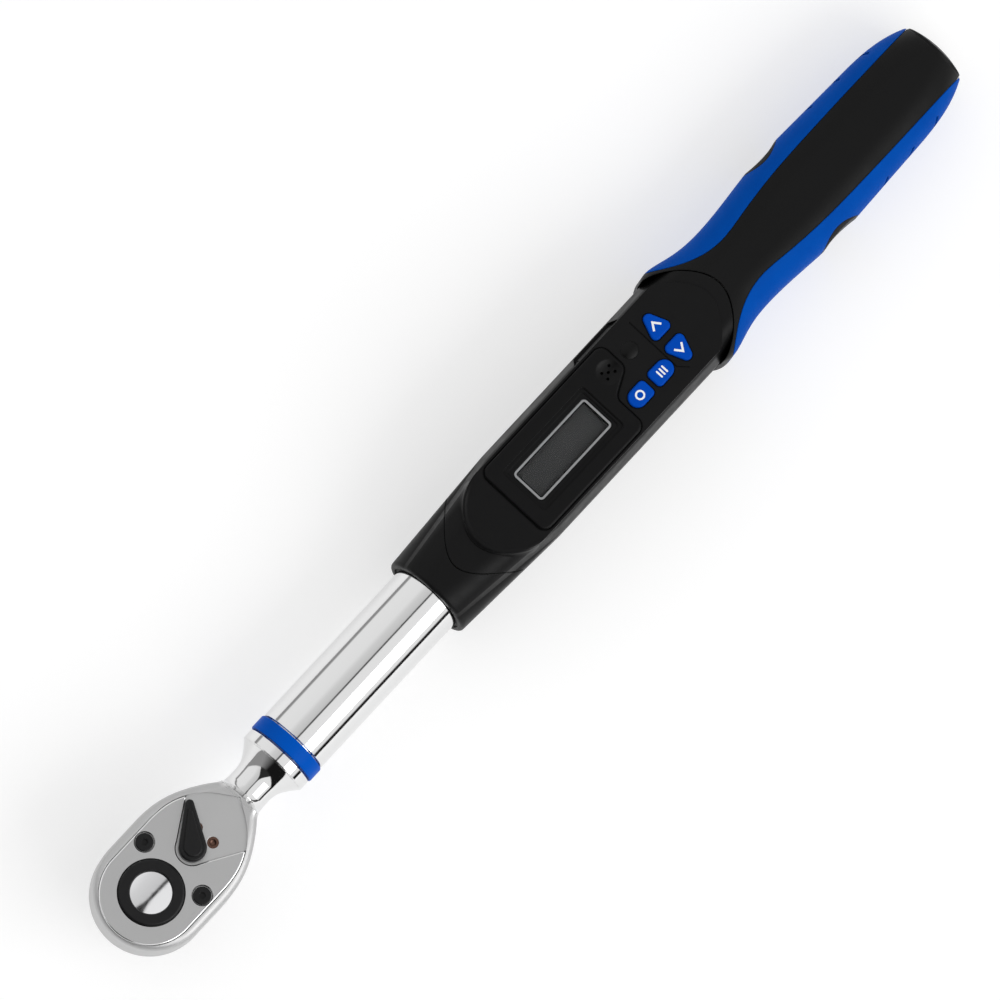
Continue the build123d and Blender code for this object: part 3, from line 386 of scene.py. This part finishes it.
def flat_solid(name, rings, low, high):
    """Prism between two heights; a second ring is a hole with as many points as the first."""
    made = bmesh.new()
    layers = [[[made.verts.new((p.x, p.y, z)) for p in ring] for ring in rings] for z in (low, high)]
    for bottom, top in zip(*layers):
        for index in range(len(bottom)):
            after = (index + 1) % len(bottom)
            made.faces.new((bottom[index], bottom[after], top[after], top[index]))
    for layer in layers:
        if len(rings) == 1:
            made.faces.new(layer[0])
            continue
        outer, inner = layer
        for index in range(len(outer)):
            after = (index + 1) % len(outer)
            made.faces.new((outer[index], outer[after], inner[after], inner[index]))
    bmesh.ops.recalc_face_normals(made, faces=made.faces)
    mesh = bpy.data.meshes.new(name)
    made.to_mesh(mesh)
    made.free()
    return mesh


def rectangle(low, high, inset=0.0):
    return [
        (low[0] + inset, low[1] + inset),
        (high[0] - inset, low[1] + inset),
        (high[0] - inset, high[1] - inset),
        (low[0] + inset, high[1] - inset),
    ]


# ---- printed details ----
def display_border():
    """Light grey line printed round the edge of the window."""
    low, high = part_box("display_lens")
    outer = outline_points(rectangle(low, high, 0.1 * MM), 1.5 * MM)
    inner = outline_points(rectangle(low, high, 0.85 * MM), 0.75 * MM)
    mesh = flat_solid("display_border", [outer, inner], high.z, high.z + 0.03 * MM)
    add_piece("display_border", mesh, "light_grey_ink", "handle")


def stroke(start, end, width):
    """Outline of a straight bar with rounded ends."""
    start, end = Vector(start), Vector(end)
    along = (end - start).normalized()
    across = Vector((-along.y, along.x)) * width / 2
    points = []
    for centre, direction in ((end, 1), (start, -1)):
        for step in range(7):
            angle = math.pi * (step / 6 - 0.5)
            arm = along * math.cos(angle) * width / 2 * direction
            points.append(centre + arm + across * math.sin(angle) * direction)
    return points


def chevron(middle, side, width):
    """Outline of an arrow head pointing along side times +Y."""
    reach, drop = 1.8 * MM, 2.5 * MM
    length = math.hypot(reach, drop)
    aside = Vector((drop, reach)) / length * width / 2
    peak = width / 2 * length / reach
    right = Vector((reach, 1.0 * MM - drop))
    points = [Vector((0, 1.0 * MM + peak)), right + aside, right - aside]
    points += [Vector((0, 1.0 * MM - peak))]
    points += [Vector((-p.x, p.y)) for p in (right - aside, right + aside)]
    return [Vector((middle.x + p.x, middle.y + side * p.y)) for p in points]


def glyph(name, key, body, outlines):
    """White marks printed on the top of a key, joined in one piece."""
    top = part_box(key)[1].z
    made = bmesh.new()
    for rings in outlines:
        part = flat_solid(name, rings, top - 0.02 * MM, top + 0.03 * MM)
        made.from_mesh(part)
        bpy.data.meshes.remove(part)
    mesh = bpy.data.meshes.new(name)
    made.to_mesh(mesh)
    made.free()
    add_piece(name, mesh, "white_ink", body)


def middle_of(node):
    low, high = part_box(node)
    return (low + high) / 2


def key_marks():
    """Arrows on two keys, a ring on the third and three bars on the fourth."""
    width = 0.75 * MM
    for key, body, side in (("key_up", "up_key", 1), ("key_down", "down_key", -1)):
        glyph("mark_" + key, key, body, [[chevron(middle_of(key), side, width)]])
    middle = middle_of("key_clear")
    circle = [
        Vector((math.cos(math.tau * step / 32), math.sin(math.tau * step / 32)))
        for step in range(32)
    ]
    ring = [[middle.xy + point * radius * MM for point in circle] for radius in (1.75, 1.1)]
    glyph("mark_key_clear", "key_clear", "clear_key", [ring])
    middle = middle_of("key_unit")
    bars = []
    for place in (-1, 0, 1):
        x = middle.x + place * 1.3 * MM
        bars.append([stroke((x, middle.y - 1.2 * MM), (x, middle.y + 1.2 * MM), 0.65 * MM)])
    glyph("mark_key_unit", "key_unit", "unit_key", bars)


def panel_ridge():
    """Soft bead along the front arch of the panel, laid on the surface of the cover."""
    cover = NODES["top_cover"]
    into = cover.matrix_world.inverted()
    front, reach, half = 162.6 * MM, 17.0 * MM, 16.0 * MM
    crown, width = 0.4 * MM, 2.6 * MM
    sunk, above = 0.01 * MM, 60.0 * MM
    sweep, steps = math.radians(80), 28
    strips, fading = 8, 8

    def height(spot):
        start = into @ Vector((spot.x, spot.y, above))
        return (cover.matrix_world @ cover.ray_cast(start, Vector((0, 0, -1)))[1]).z

    path = []
    for step in range(-steps, steps + 1):
        angle = sweep * step / steps
        path.append(Vector((front + reach * (1 - math.cos(angle)), half * math.sin(angle))))
    made = bmesh.new()
    rows = []
    for index, point in enumerate(path):
        before, after = path[max(index - 1, 0)], path[min(index + 1, len(path) - 1)]
        across = Vector((after.y - before.y, before.x - after.x)).normalized()
        fade = min(index, len(path) - 1 - index, fading) / fading
        row = []
        for step in range(strips + 1):
            share = step / strips - 0.5
            spot = point + across * share * width
            lift = crown * fade * (math.cos(math.tau * share) + 1) / 2
            row.append(made.verts.new((spot.x, spot.y, height(spot) + lift - sunk)))
        rows.append(row)
    for first, second in zip(rows, rows[1:]):
        for step in range(strips):
            face = made.faces.new((first[step], first[step + 1], second[step + 1], second[step]))
            face.smooth = True
    mesh = bpy.data.meshes.new("panel_ridge")
    made.to_mesh(mesh)
    made.free()
    add_piece("panel_ridge", mesh, "bezel_plastic", "handle")


# ---- stage, light and camera ----
def stage_floor():
    """The floor passes just under the square's tip and the underside of the grip."""
    tip, drive_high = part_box("drive_gear")
    grip_low, grip_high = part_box("grip_core")
    rest_x = grip_low.x + 0.5 * (grip_high.x - grip_low.x)
    slope = (grip_low.z - tip.z) / (rest_x - drive_high.x * 0.3)
    clearance = 0.2 * MM
    size = 6.0
    mesh = bpy.data.meshes.new("floor")
    corners = [(-size, -size), (size, -size), (size, size), (-size, size)]
    height = tip.z - clearance
    mesh.from_pydata([(x, y, height + slope * x) for x, y in corners], [], [(0, 1, 2, 3)])
    floor = bpy.data.objects.new("floor", mesh)
    scene.collection.objects.link(floor)
    paper = Shader("floor_paper", (0.55, 0.55, 0.55), roughness=0.9, specular=0.1)
    paper.vary_colour(3, (0.54, 0.54, 0.54))
    paper.set("Emission Color", (1.0, 1.0, 1.0, 1.0))
    paper.set("Emission Strength", 0.52)
    mesh.materials.append(paper.mat)


def grey_ramp(tree, source, stops):
    """Grey level along -1 to 1, from (place, level) stops."""
    shifted = tree.nodes.new("ShaderNodeMapRange")
    shifted.inputs["From Min"].default_value = -1.0
    tree.links.new(source, shifted.inputs["Value"])
    ramp = tree.nodes.new("ShaderNodeValToRGB")
    elements = ramp.color_ramp.elements
    while len(elements) < len(stops):
        elements.new(0.5)
    for element, (place, level) in zip(elements, stops):
        element.position = (place + 1) / 2
        element.color = (level, level, level, 1.0)
    tree.links.new(shifted.outputs["Result"], ramp.inputs["Fac"])
    return ramp.outputs["Color"]


def blended(tree, source, low, high, to_low, to_high):
    """Map a value between two others, each a number or a socket."""
    made = tree.nodes.new("ShaderNodeMapRange")
    made.inputs["From Min"].default_value = low
    made.inputs["From Max"].default_value = high
    tree.links.new(source, made.inputs["Value"])
    for name, value in (("To Min", to_low), ("To Max", to_high)):
        if isinstance(value, (int, float)):
            made.inputs[name].default_value = value
        else:
            tree.links.new(value, made.inputs[name])
    return made.outputs["Result"]


def math_node(tree, operation, *values):
    made = tree.nodes.new("ShaderNodeMath")
    made.operation = operation
    for socket, value in zip(made.inputs, values):
        if isinstance(value, (int, float)):
            socket.default_value = value
        else:
            tree.links.new(value, socket)
    return made.outputs["Value"]


def studio_world():
    """White tent: a dark gap at the horizon and a slot overhead that widens towards -X."""
    world = bpy.data.worlds.new("studio")
    scene.world = world
    world.use_nodes = True
    tree = world.node_tree
    tree.nodes.clear()
    coords = tree.nodes.new("ShaderNodeTexCoord")
    split = tree.nodes.new("ShaderNodeSeparateXYZ")
    tree.links.new(coords.outputs["Generated"], split.inputs["Vector"])
    x, y, z = (split.outputs[name] for name in "XYZ")

    tent = grey_ramp(
        tree, y, ((-1.0, 1.0), (-0.1, 1.0), (-0.02, 0.70), (0.3, 0.80), (0.5, 0.97), (1.0, 1.0))
    )
    slot_offset, slot_growth, horizon_depth = 0.065, 0.5, 0.07
    ahead = math_node(tree, "MINIMUM", x, 0.0)
    spread = math_node(tree, "MULTIPLY", ahead, ahead)
    spread = math_node(tree, "MULTIPLY", spread, slot_growth)
    aside = math_node(tree, "ABSOLUTE", math_node(tree, "ADD", y, slot_offset))
    inside = math_node(tree, "SUBTRACT", aside, spread)
    overhead = blended(tree, inside, 0.018, 0.06, 0.03, tent)

    gap = blended(tree, y, -0.05, 0.35, 0.01, 0.33)
    low_edge = blended(tree, x, -0.9, -0.3, 0.50, 0.15)
    high_edge = math_node(tree, "ADD", low_edge, horizon_depth)
    height = tree.nodes.new("ShaderNodeMapRange")
    tree.links.new(z, height.inputs["Value"])
    tree.links.new(low_edge, height.inputs["From Min"])
    tree.links.new(high_edge, height.inputs["From Max"])
    below = blended(tree, z, -0.10, -0.03, 1.0, 0.0)
    clear = math_node(tree, "MAXIMUM", height.outputs["Result"], below)
    light = blended(tree, clear, 0.0, 1.0, gap, overhead)

    background = tree.nodes.new("ShaderNodeBackground")
    background.inputs["Strength"].default_value = 0.95
    tree.links.new(light, background.inputs["Color"])
    out = tree.nodes.new("ShaderNodeOutputWorld")
    tree.links.new(background.outputs["Background"], out.inputs["Surface"])


def softbox(name, place, target, size, power):
    light = bpy.data.lights.new(name, "AREA")
    light.shape = "RECTANGLE"
    light.size, light.size_y = size
    light.energy = power
    lamp = bpy.data.objects.new(name, light)
    lamp.location = place
    lamp.rotation_mode = "QUATERNION"
    lamp.rotation_quaternion = (Vector(target) - Vector(place)).to_track_quat("-Z", "Y")
    scene.collection.objects.link(lamp)


def add_camera():
    """Above the wrench, tilted towards the head, with the handle rising to the right."""
    tilt = math.radians(8.0)
    lean = math.radians(1.0)
    turn = math.radians(47.06)
    lens = 1000.0
    width = 0.3385
    data = bpy.data.cameras.new("camera")
    data.lens = lens
    camera = bpy.data.objects.new("camera", data)
    back = Vector((-math.sin(tilt), -math.sin(lean), math.cos(tilt))).normalized()
    along = (Vector((1, 0, 0)) - back.x * back).normalized()
    across = back.cross(along)
    right = along * math.cos(turn) - across * math.sin(turn)
    up = along * math.sin(turn) + across * math.cos(turn)
    centre = Vector((0.179, 0.0041, 0.0255))
    distance = width * lens / data.sensor_width
    spin = Matrix((right, up, back)).transposed().to_4x4()
    camera.matrix_world = Matrix.Translation(centre + back * distance) @ spin
    data.clip_end = 50.0
    scene.collection.objects.link(camera)
    scene.camera = camera


dress_cad_nodes()
display_border()
key_marks()
panel_ridge()
stage_floor()
studio_world()
softbox("key_light", (0.3, -1.3, 1.1), (0.25, 0, 0), (1.6, 0.9), 12.0)
add_camera()
scene.view_settings.view_transform = "Standard"
